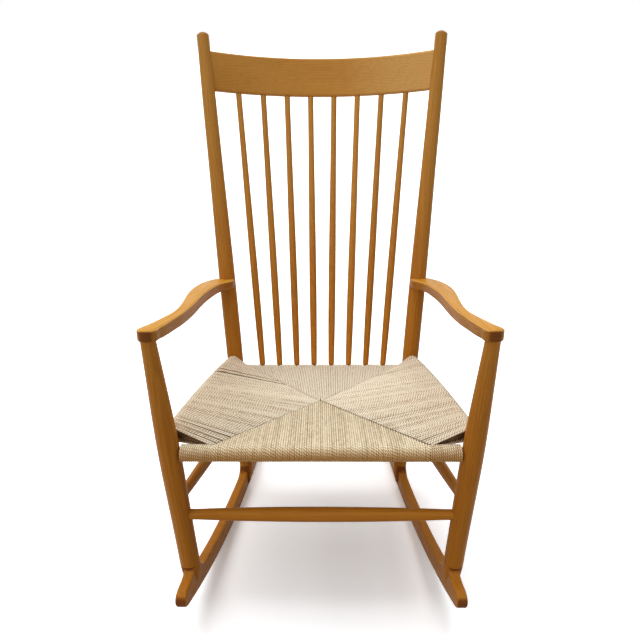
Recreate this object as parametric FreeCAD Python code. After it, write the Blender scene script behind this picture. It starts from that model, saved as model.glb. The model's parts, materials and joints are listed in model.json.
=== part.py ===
import FreeCAD, Part
import math
import os

from FreeCAD import Placement, Rotation, Vector

# A rocking chair with round tapered legs, eight back spindles, swept arms and a seat woven of
# paper cord. The frame is in millimetres: X runs across the chair, Y from the front to the back
# and Z up. The floor is Z = 0 and X = 0 is the plane of symmetry, so the left half is the mirror
# image of the right half that the functions below make.

# Overall sizes
chair_height = 1070.0
rocker_length = 880.0
arm_outer_width = 630.0

# Clearances
glue_clearance = 0.15
mortise_spare_depth = 1.0
cord_clearance = 0.35
overrun = 30.0

# Rockers
rocker_radius = 1300.0
rocker_low_y = -23.0
rocker_thickness = 21.0
rocker_depth = 38.0
rocker_edge_round = 4.0
rocker_front_x = 256.5
rocker_rear_x = 198.8
toe_height = 40.0
toe_bottom_run = 14.0
toe_top_run = 24.0
tail_run = 17.0
front_swell_run = 34.0
rear_swell_run = 24.0
shoulder_spare = 3.0
front_shoulder_half = 16.5
rear_shoulder_half = 12.5
front_joint_height = 70.0
rear_joint_height = 54.0

# Front legs
front_leg_setback = 77.0
front_leg_foot_x = 260.0
front_leg_head_x = 294.5
front_leg_rake = 8.0
front_leg_foot_radius = 19.3
front_leg_shin_radius = 19.9
front_leg_seat_radius = 20.4
front_leg_neck_radius = 17.4
front_leg_head_radius = 13.6
front_foot_tenon_radius = 7.5
front_foot_tenon_length = 44.0
front_head_tenon_radius = 8.5
front_head_tenon_length = 15.0

# Back posts
leg_to_post = 407.0
post_foot_x = 196.0
post_tip_x = 287.0
back_lean_angle = 18.0
post_foot_radius = 15.9
post_calf_radius = 19.5
post_belly_radius = 19.8
post_shoulder_radius = 17.4
post_neck_radius = 16.4
post_tip_radius = 14.2
post_dome_height = 7.0
post_foot_tenon_radius = 7.0
post_foot_tenon_length = 24.0

# Seat rails, by the heights where their axes meet the axes of the legs and posts
front_rail_height = 369.0
side_rail_front_height = 397.0
side_rail_rear_height = 316.0
rear_rail_height = 288.0
seat_rail_radius = 10.4
side_rail_belly_radius = 15.2
rear_rail_radius = 10.8
seat_rail_tenon_radius = 8.5
rail_taper_run = 14.0

# Stretchers, by the same kind of heights
front_stretcher_height = 230.0
side_stretcher_front_height = 262.0
side_stretcher_rear_height = 187.0
rear_stretcher_height = 150.0
front_stretcher_end_radius = 10.1
front_stretcher_belly_radius = 14.4
side_stretcher_end_radius = 9.6
side_stretcher_belly_radius = 12.4
tenon_stop = 3.0

# Crest rail, a bent board between the posts
crest_height = 92.5
crest_thickness = 17.0
crest_sagitta = 80.0
crest_below_tip = 130.0
crest_edge_round = 5.0
crest_tenon_thickness = 8.0
crest_tenon_height = 62.0
crest_tenon_depth = 13.0

# Spindles
spindle_count = 8
spindle_seat_pitch = 42.8
spindle_crest_pitch = 59.0
spindle_foot_radius = 5.5
spindle_shoulder_radius = 7.2
spindle_belly_radius = 8.9
spindle_neck_radius = 8.0
spindle_head_radius = 7.0
spindle_foot_depth = 4.0
spindle_shoulder_rise = 17.0
spindle_tenon_radius = 4.5
spindle_tenon_length = 20.0
spindle_shoulder_gap = 0.8

# Arms
arm_nose_overhang = 9.0
arm_front_top_height = 620.0
arm_rear_top_height = 508.0
arm_front_thickness = 22.5
arm_rear_thickness = 20.5
arm_underside_bow = 3.5
arm_inner_x = 212.0
arm_edge_round = 4.0
arm_tenon_radius = 6.0
arm_tenon_root = 30.0

# Woven seat
front_roll_radius = 15.0
side_roll_end_radius = 14.4
side_roll_belly_radius = 19.6
rear_roll_radius = 14.5
weave_front_corner_x = 207.0
weave_rear_corner_x = 190.0
seat_centre_depth = 247.0
seat_centre_height = 338.0
seat_centre_thickness = 12.0

# Shares of a length or a width, chosen by hand
leg_shin_share = 0.27
leg_seat_share = 0.55
leg_neck_share = 0.78
post_calf_share = 0.26
post_belly_share = 0.46
post_shoulder_share = 0.70
post_neck_share = 0.84
stretcher_belly_share = 0.5
rail_belly_share = 0.5
spindle_belly_share = 0.33
spindle_neck_share = 0.62
quarter_pull_share = 0.39
nose_pull_share = 0.50
weave_lift_share = 0.94
broad_side_share = 0.85
arm_underside_shares = (0.0, 0.25, 0.5, 0.75, 1.0)
half_share = 0.5
boss_radius_shares = ((0.0, 1.0), (0.30, 0.93), (0.62, 0.68), (0.86, 0.34))

# The arm's plan, from its nose to the axis of the post: share along, share across
arm_outer_edge_shares = (
    (0.050, 0.965), (0.145, 0.832), (0.281, 0.692), (0.40, 0.688), (0.578, 0.772),
    (0.75, 0.82), (0.86, 0.775), (0.945, 0.66), (1.0, 0.50),
)
arm_inner_edge_shares = (
    (1.0, 0.13), (0.975, 0.045), (0.94, 0.08), (0.885, 0.235), (0.79, 0.355), (0.65, 0.425),
    (0.45, 0.435), (0.306, 0.456), (0.20, 0.51), (0.115, 0.60), (0.060, 0.675),
)


def floor_gap(y):
    """Height of the rocker's underside above the floor."""
    return rocker_radius - math.sqrt(rocker_radius ** 2 - (y - rocker_low_y) ** 2)


def rocker_top(y):
    """Height of the rocker's upper edge, concentric with its underside."""
    inner = rocker_radius - rocker_depth
    return rocker_radius - math.sqrt(inner ** 2 - (y - rocker_low_y) ** 2)


def unit(vector):
    """The vector at length one."""
    return vector * (1 / vector.Length)


def at_height(line, height):
    """The point of a line, given by two points, at a height."""
    start, end = line
    return start + (end - start) * ((height - start.z) / (end.z - start.z))


def mirrored(shape):
    """The left-hand copy of a right-hand shape."""
    return shape.mirror(Vector(0, 0, 0), Vector(1, 0, 0))


def fused(shapes):
    """One solid from shapes that overlap or share faces."""
    first = shapes[0]
    whole = first.fuse(list(shapes[1:])).removeSplitter()
    return whole.Solids[0] if len(whole.Solids) == 1 else whole


def rod(start, end, radius):
    """A round bar from one point to another."""
    axis = end - start
    return Part.makeCylinder(radius, axis.Length, start, axis)


def line(start, end):
    """A straight edge."""
    return Part.LineSegment(start, end).toShape()


def blend(start, start_way, end, end_way, pull=quarter_pull_share):
    """A quarter-turn curve from one point to another, leaving and arriving along given ways."""
    reach = (end - start).Length * pull
    curve = Part.BezierCurve()
    curve.setPoles([start, start + unit(start_way) * reach, end - unit(end_way) * reach, end])
    return curve.toShape()


def turned(axis, runs):
    """A turned piece on an axis, from runs of (distance along it, radius).

    A run of two points is straight, one of three is an arc and a longer one is a smooth curve.
    """
    foot, head = axis
    edges = []
    last = Vector(0, 0, runs[0][0][0])
    first = last
    for run in runs:
        points = [Vector(radius, 0, distance) for distance, radius in run]
        if (points[0] - last).Length > glue_clearance * half_share:
            edges.append(line(last, points[0]))
        if len(points) == 2:
            edges.append(line(points[0], points[1]))
        elif len(points) == 3:
            edges.append(Part.Arc(points[0], points[1], points[2]).toShape())
        else:
            curve = Part.BSplineCurve()
            curve.interpolate(points)
            edges.append(curve.toShape())
        last = points[-1]
    top = Vector(0, 0, last.z)
    if last.x > 0:
        edges.append(line(last, top))
    edges.append(line(top, first))
    face = Part.Face(Part.Wire(edges))
    solid = face.revolve(Vector(0, 0, 0), Vector(0, 0, 1), 360)
    solid.Placement = Placement(foot, Rotation(Vector(0, 0, 1), head - foot))
    return solid


# Axes of the legs and posts, and places that follow from them
toe_y = -rocker_length * half_share
tail_y = rocker_length * half_share
front_leg_y = toe_y + front_leg_setback
post_y = front_leg_y + leg_to_post
lean_slope = math.tan(math.radians(back_lean_angle))

front_leg_foot = Vector(front_leg_foot_x, front_leg_y, floor_gap(front_leg_y) + front_joint_height)
post_foot = Vector(post_foot_x, post_y, floor_gap(post_y) + rear_joint_height)

# The dome on a leaning post is highest beside its axis, by this much
dome_radius = (post_tip_radius ** 2 + post_dome_height ** 2) / (post_dome_height + post_dome_height)
post_rise = chair_height - post_foot.z
post_way = unit(Vector(post_tip_x - post_foot_x, post_rise * lean_slope, post_rise))
tip_height = chair_height - dome_radius * (1 - post_way.z)
post_tip = post_foot + post_way * ((tip_height - post_foot.z) / post_way.z)
post_axis = (post_foot, post_tip)

# The back lies in the plane of the posts: along it upwards, and square to it backwards
back_up = unit(Vector(0, lean_slope, 1))
back_out = unit(Vector(0, 1, -lean_slope))

# The arm's upper face is a plane that falls from the nose to the post
arm_nose_y = front_leg_y - arm_nose_overhang
arm_rear_axis = at_height(post_axis, arm_rear_top_height - arm_rear_thickness * half_share)
arm_length = arm_rear_axis.y - arm_nose_y
arm_fall = (arm_front_top_height - arm_rear_top_height) / arm_length
arm_thinning = (arm_front_thickness - arm_rear_thickness) / arm_length


def arm_top(y):
    """Height of the arm's upper face."""
    return arm_front_top_height - arm_fall * (y - arm_nose_y)


def arm_bottom(y):
    """Height of the arm's lower face, which bows down between the nose and the post."""
    along = (y - arm_nose_y) / arm_length
    bow = arm_underside_bow * along * (1 - along) * 4
    return arm_top(y) - arm_front_thickness + arm_thinning * (y - arm_nose_y) - bow


front_leg_head_y = front_leg_y + front_leg_rake
front_leg_head = Vector(front_leg_head_x, front_leg_head_y, arm_bottom(front_leg_head_y))
front_leg_axis = (front_leg_foot, front_leg_head)
front_leg_way = unit(front_leg_head - front_leg_foot)


def across(point):
    """The same point on the left-hand side."""
    return Vector(-point.x, point.y, point.z)


# Axes of the rails and stretchers, between the axes of the legs and posts
front_rail_end = at_height(front_leg_axis, front_rail_height)
front_rail_axis = (across(front_rail_end), front_rail_end)
side_rail_axis = (
    at_height(front_leg_axis, side_rail_front_height),
    at_height(post_axis, side_rail_rear_height),
)
rear_rail_end = at_height(post_axis, rear_rail_height)
rear_rail_axis = (across(rear_rail_end), rear_rail_end)
front_stretcher_end = at_height(front_leg_axis, front_stretcher_height)
front_stretcher_axis = (across(front_stretcher_end), front_stretcher_end)
side_stretcher_axis = (
    at_height(front_leg_axis, side_stretcher_front_height),
    at_height(post_axis, side_stretcher_rear_height),
)
rear_stretcher_end = at_height(post_axis, rear_stretcher_height)
rear_stretcher_axis = (across(rear_stretcher_end), rear_stretcher_end)


# Turned legs and posts
def front_leg_blank(extra):
    """The front leg's round body without its tenons, grown by an extra radius."""
    length = (front_leg_head - front_leg_foot).Length
    body = (
        (0, front_leg_foot_radius + extra),
        (length * leg_shin_share, front_leg_shin_radius + extra),
        (length * leg_seat_share, front_leg_seat_radius + extra),
        (length * leg_neck_share, front_leg_neck_radius + extra),
        (length, front_leg_head_radius + extra),
    )
    stub = ((length, front_leg_head_radius + extra), (length + overrun, front_leg_head_radius + extra))
    blank = turned(front_leg_axis, (body, stub))
    return blank.cut(arm_side_block(overrun))


def arm_side_block(raised):
    """Everything between the arm's lower face and its upper face raised by a height."""
    near = arm_nose_y - overrun
    far = arm_rear_axis.y + overrun
    under = []
    for share in arm_underside_shares:
        y = near + (far - near) * share
        under.append(Vector(0, y, arm_bottom(y)))
    curve = Part.BSplineCurve()
    curve.interpolate(under)
    far_top = Vector(0, far, arm_top(far) + raised)
    near_top = Vector(0, near, arm_top(near) + raised)
    edges = [
        curve.toShape(),
        line(under[-1], far_top),
        line(far_top, near_top),
        line(near_top, under[0]),
    ]
    return Part.Face(Part.Wire(edges)).extrude(Vector(arm_outer_width, 0, 0))


def back_post_blank(extra):
    """The back post's round body with its domed tip, grown by an extra radius."""
    length = (post_tip - post_foot).Length
    neck = length - post_dome_height
    body = (
        (0, post_foot_radius + extra),
        (length * post_calf_share, post_calf_radius + extra),
        (length * post_belly_share, post_belly_radius + extra),
        (length * post_shoulder_share, post_shoulder_radius + extra),
        (length * post_neck_share, post_neck_radius + extra),
        (neck, post_tip_radius + extra),
    )
    grown = dome_radius + extra
    centre = length - dome_radius
    turn = math.acos((neck - centre) / dome_radius) * half_share
    middle = (centre + grown * math.cos(turn), grown * math.sin(turn))
    dome = ((neck, post_tip_radius + extra), middle, (centre + grown, 0))
    return turned(post_axis, (body, dome))


def mortise(axis, length, radius):
    """The hole for a tenon that runs from the axis's first point back along it."""
    start, end = axis
    way = unit(end - start)
    bottom = start + way * (tenon_stop - mortise_spare_depth)
    return rod(bottom, start + way * length, radius + glue_clearance)


def rail_mortises_in_leg():
    """Holes in the right front leg for the rails and stretchers."""
    holes = []
    seats = (
        (front_rail_axis[::-1], seat_rail_tenon_radius),
        (side_rail_axis, seat_rail_tenon_radius),
        (front_stretcher_axis[::-1], front_stretcher_end_radius),
        (side_stretcher_axis, side_stretcher_end_radius),
    )
    for axis, radius in seats:
        holes.append(mortise(axis, overrun, radius))
    return holes


def rail_mortises_in_post():
    """Holes in the right back post for the rails and stretchers."""
    holes = []
    seats = (
        (rear_rail_axis[::-1], seat_rail_tenon_radius),
        (side_rail_axis[::-1], seat_rail_tenon_radius),
        (rear_stretcher_axis[::-1], side_stretcher_end_radius),
        (side_stretcher_axis[::-1], side_stretcher_end_radius),
    )
    for axis, radius in seats:
        holes.append(mortise(axis, overrun, radius))
    return holes


def front_leg():
    """The right front leg with its foot and head tenons and its mortises."""
    foot_tenon = rod(
        front_leg_foot - front_leg_way * front_foot_tenon_length,
        front_leg_foot + front_leg_way * overrun,
        front_foot_tenon_radius,
    )
    head_tenon = rod(
        front_leg_head - front_leg_way * overrun,
        front_leg_head + front_leg_way * front_head_tenon_length,
        front_head_tenon_radius,
    )
    leg = fused([front_leg_blank(0), foot_tenon, head_tenon])
    return leg.cut(rail_mortises_in_leg())


def back_post():
    """The right back post with its foot tenon and its mortises."""
    foot_tenon = rod(
        post_foot - post_way * post_foot_tenon_length,
        post_foot + post_way * overrun,
        post_foot_tenon_radius,
    )
    post = fused([back_post_blank(0), foot_tenon])
    return post.cut(rail_mortises_in_post() + [arm_tenon(glue_clearance), crest_tenon(glue_clearance)])


# Rockers
def rocker_outline():
    """The side view of a rocker, as a closed wire in the plane X = 0."""
    bottom_toe = Vector(0, toe_y + toe_bottom_run, floor_gap(toe_y + toe_bottom_run))
    bottom_tail = Vector(0, tail_y - tail_run, floor_gap(tail_y - tail_run))
    top_tail = Vector(0, tail_y - tail_run, rocker_top(tail_y - tail_run))
    tail_tip = Vector(0, tail_y, (bottom_tail.z + top_tail.z) * half_share)
    toe_top = Vector(0, toe_y + toe_top_run, floor_gap(toe_y + toe_top_run) + toe_height)
    toe_tip = Vector(0, toe_y, (bottom_toe.z + toe_top.z) * half_share)
    centre = Vector(0, rocker_low_y, rocker_radius)

    def arc_way(point):
        """Backward direction of a circle round the rocker's centre."""
        radial = point - centre
        return Vector(0, -radial.z, radial.y)

    def shoulder(foot, way, half):
        """Back and front corners of a raised seat square to a leg, and the leg's upward way."""
        up = unit(Vector(0, way.y, way.z))
        back = Vector(0, up.z, -up.y)
        middle = Vector(0, foot.y, foot.z) + up * shoulder_spare
        return middle + back * half, middle - back * half, up

    rear_back, rear_front, rear_up = shoulder(post_foot, post_way, rear_shoulder_half)
    front_back, front_front, front_up = shoulder(front_leg_foot, front_leg_way, front_shoulder_half)
    lip = Vector(0, 0, rocker_depth)
    behind_post = Vector(0, rear_back.y + rear_swell_run, rocker_top(rear_back.y + rear_swell_run))
    before_post = Vector(0, rear_front.y - rear_swell_run, rocker_top(rear_front.y - rear_swell_run))
    behind_leg = Vector(0, front_back.y + front_swell_run, rocker_top(front_back.y + front_swell_run))
    low_point = Vector(0, rocker_low_y, 0)
    mid_tail = (behind_post.y + top_tail.y) * half_share
    mid_top = (behind_leg.y + before_post.y) * half_share
    forward = Vector(0, -1, 0)
    down = Vector(0, 0, -1)

    edges = [
        Part.Arc(bottom_toe, low_point, bottom_tail).toShape(),
        blend(bottom_tail, arc_way(bottom_tail), tail_tip, lip),
        blend(tail_tip, lip, top_tail, arc_way(top_tail) * -1),
        Part.Arc(top_tail, Vector(0, mid_tail, rocker_top(mid_tail)), behind_post).toShape(),
        blend(behind_post, arc_way(behind_post) * -1, rear_back, rear_up),
        line(rear_back, rear_front),
        blend(rear_front, rear_up * -1, before_post, arc_way(before_post) * -1),
        Part.Arc(before_post, Vector(0, mid_top, rocker_top(mid_top)), behind_leg).toShape(),
        blend(behind_leg, arc_way(behind_leg) * -1, front_back, front_up),
        line(front_back, front_front),
        blend(front_front, front_up * -1, toe_top, forward),
        blend(toe_top, forward, toe_tip, down),
        blend(toe_tip, down, bottom_toe, arc_way(bottom_toe)),
    ]
    return Part.Wire(edges)


def boss(foot, way, radius, depth):
    """The round swelling that carries a leg down into the rocker's flat sides."""
    outline = [(-depth * share, radius * radius_share) for share, radius_share in boss_radius_shares[::-1]]
    return turned((foot, foot + way), (outline,))


def rocker():
    """The right rocker: a sawn board set toed in, with a round boss below each leg."""
    prism = Part.Face(rocker_outline()).extrude(Vector(rocker_front_x + overrun, 0, 0))
    toe_in = Vector(rocker_rear_x - rocker_front_x, post_y - front_leg_y, 0)
    board_way = unit(toe_in)
    middle = Vector(rocker_front_x, front_leg_y, 0)
    board = Part.makeBox(
        rocker_thickness,
        rocker_length + rocker_length,
        chair_height,
        Vector(-rocker_thickness * half_share, -rocker_length, -overrun),
    )
    board.Placement = Placement(middle, Rotation(Vector(0, 1, 0), board_way))
    blank = prism.common(board)
    rounded = []
    side = Vector(board_way.y, -board_way.x, 0)
    for face in blank.Faces:
        if face.Surface.TypeId != "Part::GeomPlane":
            continue
        if abs(face.normalAt(0, 0).dot(side)) < broad_side_share:
            continue
        for edge in face.Edges:
            if edge.Curve.TypeId != "Part::GeomLine":
                rounded.append(edge)
    blank = blank.makeFillet(rocker_edge_round, rounded)
    front_boss = boss(front_leg_foot, front_leg_way, front_leg_foot_radius, front_joint_height)
    rear_boss = boss(post_foot, post_way, post_foot_radius, rear_joint_height)
    whole = fused([blank, front_boss, rear_boss])
    cutters = [
        rod(front_leg_foot, front_leg_foot + front_leg_way * overrun, front_leg_foot_radius * 2),
        rod(post_foot, post_foot + post_way * overrun, post_foot_radius * 2),
        rod(
            front_leg_foot - front_leg_way * (front_foot_tenon_length + mortise_spare_depth),
            front_leg_foot + front_leg_way * overrun,
            front_foot_tenon_radius + glue_clearance,
        ),
        rod(
            post_foot - post_way * (post_foot_tenon_length + mortise_spare_depth),
            post_foot + post_way * overrun,
            post_foot_tenon_radius + glue_clearance,
        ),
    ]
    return whole.cut(cutters)


# Rails and stretchers
def slim_stretcher(axis):
    """A stretcher of the slimmer size, for the sides and the back."""
    return stretcher(axis, side_stretcher_end_radius, side_stretcher_belly_radius)


def stretcher(axis, end_radius, belly_radius):
    """A turned stretcher that swells in the middle, its ends glued into two legs."""
    length = (axis[1] - axis[0]).Length
    outline = (
        (tenon_stop, end_radius),
        (tenon_stop + overrun, end_radius),
    )
    belly = (
        (tenon_stop + overrun, end_radius),
        (length * stretcher_belly_share, belly_radius),
        (length - tenon_stop - overrun, end_radius),
    )
    far = (
        (length - tenon_stop - overrun, end_radius),
        (length - tenon_stop, end_radius),
    )
    return turned(axis, (outline, belly, far))


def seat_rail(axis, radius, belly_radius, start_radius, end_radius, extra):
    """A turned seat rail, hidden by the cord, between two legs of given radii."""
    length = (axis[1] - axis[0]).Length
    tenon = seat_rail_tenon_radius + extra
    near = start_radius
    far = length - end_radius
    body = [(near + rail_taper_run, radius + extra), (far - rail_taper_run, radius + extra)]
    if belly_radius > radius:
        body.insert(1, (length * rail_belly_share, belly_radius + extra))
    runs = (
        ((tenon_stop, tenon), (near, tenon)),
        ((near, tenon), (near + rail_taper_run, radius + extra)),
        body,
        ((far - rail_taper_run, radius + extra), (far, tenon)),
        ((far, tenon), (length - tenon_stop, tenon)),
    )
    return turned(axis, runs)


def front_rail(extra):
    """The front seat rail."""
    ends = front_leg_seat_radius
    return seat_rail(front_rail_axis, seat_rail_radius, seat_rail_radius, ends, ends, extra)


def side_rail(extra):
    """The right side seat rail, thicker in the middle."""
    return seat_rail(
        side_rail_axis,
        seat_rail_radius,
        side_rail_belly_radius,
        front_leg_seat_radius,
        post_belly_radius,
        extra,
    )


def rear_rail(extra):
    """The rear seat rail before its spindle mortises are bored."""
    ends = post_belly_radius
    return seat_rail(rear_rail_axis, rear_rail_radius, rear_rail_radius, ends, ends, extra)


# Crest rail and spindles
crest_foot_height = chair_height - crest_below_tip
crest_origin = at_height(post_axis, crest_foot_height)
crest_half_chord = (crest_origin + (post_tip - post_foot) * (crest_height * half_share / post_rise)).x
crest_radius = (crest_half_chord ** 2 + crest_sagitta ** 2) / (crest_sagitta + crest_sagitta)
crest_base = Vector(0, crest_origin.y, crest_origin.z)


def crest_point(x, offset, rise):
    """A point of the bent board: across, outwards from its middle, and up from its lower edge."""
    radius = crest_radius + offset
    out = crest_sagitta - crest_radius + math.sqrt(radius ** 2 - x ** 2)
    return crest_base + Vector(x, 0, 0) + back_out * out + back_up * rise


def crest_band(thickness, low, high, reach):
    """A curved band of the board, between two heights and as wide as a reach to each side."""
    outer = thickness * half_share
    corners = [crest_point(x, side * outer, low) for x, side in ((-reach, 1), (0, 1), (reach, 1))]
    inners = [crest_point(x, side * outer, low) for x, side in ((reach, -1), (0, -1), (-reach, -1))]
    wire = Part.Wire([
        Part.Arc(*corners).toShape(),
        line(corners[2], inners[0]),
        Part.Arc(*inners).toShape(),
        line(inners[2], corners[0]),
    ])
    return Part.Face(wire).extrude(back_up * (high - low))


def crest_tenon(extra):
    """The right tenon of the crest rail, grown by an extra clearance."""
    low = (crest_height - crest_tenon_height) * half_share - extra
    band = crest_band(
        crest_tenon_thickness + extra + extra,
        low,
        crest_height - low,
        crest_half_chord + overrun,
    )
    start = post_axis[0] + Vector(-tenon_stop + extra, 0, 0)
    end = post_axis[1] + Vector(-tenon_stop + extra, 0, 0)
    inner = start + Vector(-post_belly_radius - crest_tenon_depth, 0, 0)
    inner_end = end + Vector(-post_belly_radius - crest_tenon_depth, 0, 0)
    side = Part.Face(Part.makePolygon([start, end, inner_end, inner, start]))
    slab = side.extrude(Vector(0, overrun * 4, 0))
    slab.translate(Vector(0, -overrun * 2, 0))
    return band.common(slab)


def spindle_places():
    """Foot and head of each spindle, from left to right."""
    places = []
    for number in range(spindle_count):
        step = number - (spindle_count - 1) * half_share
        foot = Vector(step * spindle_seat_pitch, rear_rail_end.y, rear_rail_end.z)
        head = crest_point(step * spindle_crest_pitch, 0, -spindle_shoulder_gap)
        places.append((foot, head))
    return places


def spindle(axis, extra):
    """A turned spindle, thickest above the seat, from the rear rail to the crest rail."""
    length = (axis[1] - axis[0]).Length
    foot = (
        (-spindle_foot_depth, spindle_foot_radius + extra),
        (rear_rail_radius, spindle_foot_radius + extra),
    )
    shoulder = (
        (rear_rail_radius, spindle_foot_radius + extra),
        (spindle_shoulder_rise, spindle_shoulder_radius + extra),
    )
    body = (
        (spindle_shoulder_rise, spindle_shoulder_radius + extra),
        (length * spindle_belly_share, spindle_belly_radius + extra),
        (length * spindle_neck_share, spindle_neck_radius + extra),
        (length, spindle_head_radius + extra),
    )
    tenon = (
        (length, spindle_tenon_radius + extra),
        (length + spindle_tenon_length, spindle_tenon_radius + extra),
    )
    return turned(axis, (foot, shoulder, body, tenon))


def spindle_mortises(at_foot):
    """The holes for all spindles, in the rear rail or in the crest rail."""
    holes = []
    for foot, head in spindle_places():
        way = unit(head - foot)
        if at_foot:
            start = foot - way * (spindle_foot_depth + mortise_spare_depth)
            holes.append(rod(start, foot + way * overrun, spindle_foot_radius + glue_clearance))
        else:
            end = head + way * (spindle_tenon_length + mortise_spare_depth)
            holes.append(rod(head - way * overrun, end, spindle_tenon_radius + glue_clearance))
    return holes


def crest_rail():
    """The bent board with rounded edges, tenoned into the posts, with its spindle mortises."""
    board = crest_band(crest_thickness, 0, crest_height, crest_half_chord)
    long_edges = [edge for edge in board.Edges if edge.Curve.TypeId == "Part::GeomCircle"]
    board = board.makeFillet(crest_edge_round, long_edges)
    envelope = back_post_blank(glue_clearance)
    tenon = crest_tenon(0)
    board = board.cut([envelope, mirrored(envelope)] + end_waste())
    board = fused([board, tenon, mirrored(tenon)])
    return board.cut(spindle_mortises(False))


def end_waste():
    """What the board would leave on the far side of each post."""
    reach = post_tip_radius
    start = post_axis[0]
    end = post_axis[1] + post_way * overrun
    far = Vector(arm_outer_width, 0, 0)
    side = Part.Face(Part.makePolygon([start, end, end + far, start + far, start]))
    slab = side.extrude(Vector(0, overrun * 4, 0))
    slab.translate(Vector(0, -overrun * 2, 0))
    return [slab, mirrored(slab)]


# Arms
def arm_place(along, width):
    """A point of the arm's plan at a share of its length and of its spread."""
    spread = arm_outer_width * half_share - arm_inner_x
    return Vector(arm_inner_x + spread * width, arm_nose_y + arm_length * along, 0)


def arm_outline():
    """The arm's plan as a closed wire."""
    outer = [arm_place(along, width) for along, width in arm_outer_edge_shares]
    inner = [arm_place(along, width) for along, width in arm_inner_edge_shares]
    outer_curve = Part.BSplineCurve()
    outer_curve.interpolate(Points=outer)
    inner_curve = Part.BSplineCurve()
    inner_curve.interpolate(Points=inner)
    outer_way = outer_curve.tangent(outer_curve.FirstParameter)[0]
    inner_way = inner_curve.tangent(inner_curve.LastParameter)[0]
    nose = Vector((outer[0].x + inner[-1].x) * half_share, arm_nose_y, 0)
    outward = Vector(1, 0, 0)
    return Part.Wire([
        outer_curve.toShape(),
        line(outer[-1], inner[0]),
        inner_curve.toShape(),
        blend(inner[-1], inner_way, nose, outward, nose_pull_share),
        blend(nose, outward, outer[0], outer_way, nose_pull_share),
    ])


def middle_of(face):
    """The two coordinates of a face's middle on its own surface."""
    low_u, high_u, low_v, high_v = face.ParameterRange
    return (low_u + high_u) * half_share, (low_v + high_v) * half_share


def arm_tenon(extra):
    """The round tenon at the back of the right arm, grown by an extra radius."""
    root = arm_place(1 - arm_tenon_root / arm_length, half_share * half_share)
    root.z = (arm_top(root.y) + arm_bottom(root.y)) * half_share
    way = unit(arm_rear_axis - root)
    end = arm_rear_axis - way * (tenon_stop - extra)
    return rod(root, end, arm_tenon_radius + extra)


def arm():
    """The right arm: a board sawn to a double curve, thinner at the back, coped to the post."""
    low = arm_rear_top_height - overrun * 4
    plan = Part.Face(arm_outline())
    plan.translate(Vector(0, 0, low))
    block = plan.extrude(Vector(0, 0, arm_front_top_height))
    board = block.common(arm_side_block(0))
    rounded = []
    for face in board.Faces:
        if abs(face.normalAt(*middle_of(face)).z) < half_share:
            continue
        for edge in face.Edges:
            if min(vertex.Point.y for vertex in edge.Vertexes) < arm_rear_axis.y - glue_clearance:
                rounded.append(edge)
    board = board.makeFillet(arm_edge_round, rounded)
    board = main_solid(board.cut(back_post_blank(glue_clearance)))
    board = fused([board, arm_tenon(0)])
    leg_mortise = rod(
        front_leg_head - front_leg_way * overrun,
        front_leg_head + front_leg_way * (front_head_tenon_length + mortise_spare_depth),
        front_head_tenon_radius + glue_clearance,
    )
    return board.cut(leg_mortise)


# Woven seat
def roll(axis, end_radius, belly_radius):
    """The cord wrapped round a rail, as one round sleeve."""
    length = (axis[1] - axis[0]).Length
    outline = ((0, end_radius), (length * rail_belly_share, belly_radius), (length, end_radius))
    return turned(axis, (outline,))


def upright(point, radius):
    """The heights at which the weave leaves a roll, above and below a point of its axis."""
    lift = Vector(0, 0, radius * weave_lift_share)
    return point + lift, point - lift


def ruled_face(first, second, third, fourth):
    """A face between the straight line first to second and the straight line fourth to third."""
    return Part.makeRuledSurface(line(first, second), line(fourth, third))


def weave_body():
    """The four fields of the weave as one solid between the rails, hollowed towards its centre."""
    front_line = front_rail_end.y
    top = Vector(0, front_line + seat_centre_depth, seat_centre_height)
    centre = (top, top - Vector(0, 0, seat_centre_thickness))
    front_corner = upright(Vector(weave_front_corner_x, front_line, front_rail_height), front_roll_radius)
    rear_corner = upright(Vector(weave_rear_corner_x, rear_rail_end.y, rear_rail_height), rear_roll_radius)
    start, end = side_rail_axis
    way = end - start

    def beside(y, radius):
        """Where the weave leaves the side roll, at a place along the seat."""
        return upright(start + way * ((y - start.y) / way.y), radius)

    front_side = beside(start.y + front_leg_seat_radius, side_roll_end_radius)
    middle_side = beside(top.y, side_roll_belly_radius)
    rear_side = beside(end.y - post_belly_radius, side_roll_end_radius)
    rim = [front_corner, front_side, middle_side, rear_side, rear_corner]
    far_rim = [tuple(across(point) for point in pair) for pair in rim]
    faces = []
    for level in (0, 1):
        for front, near, middle, back, rear in (rim, far_rim):
            faces.append(ruled_face(front[level], centre[level], middle[level], near[level]))
            faces.append(ruled_face(centre[level], rear[level], back[level], middle[level]))
        for right, left in ((rim[0], far_rim[0]), (rim[-1], far_rim[-1])):
            corners = [right[level], left[level], centre[level], right[level]]
            faces.append(Part.Face(Part.makePolygon(corners)))
    loop = rim + far_rim[::-1]
    for number, pair in enumerate(loop):
        other = loop[number - 1]
        faces.append(Part.Face(Part.makePolygon([pair[0], other[0], other[1], pair[1], pair[0]])))
    return Part.Solid(Part.Shell(faces))


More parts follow.
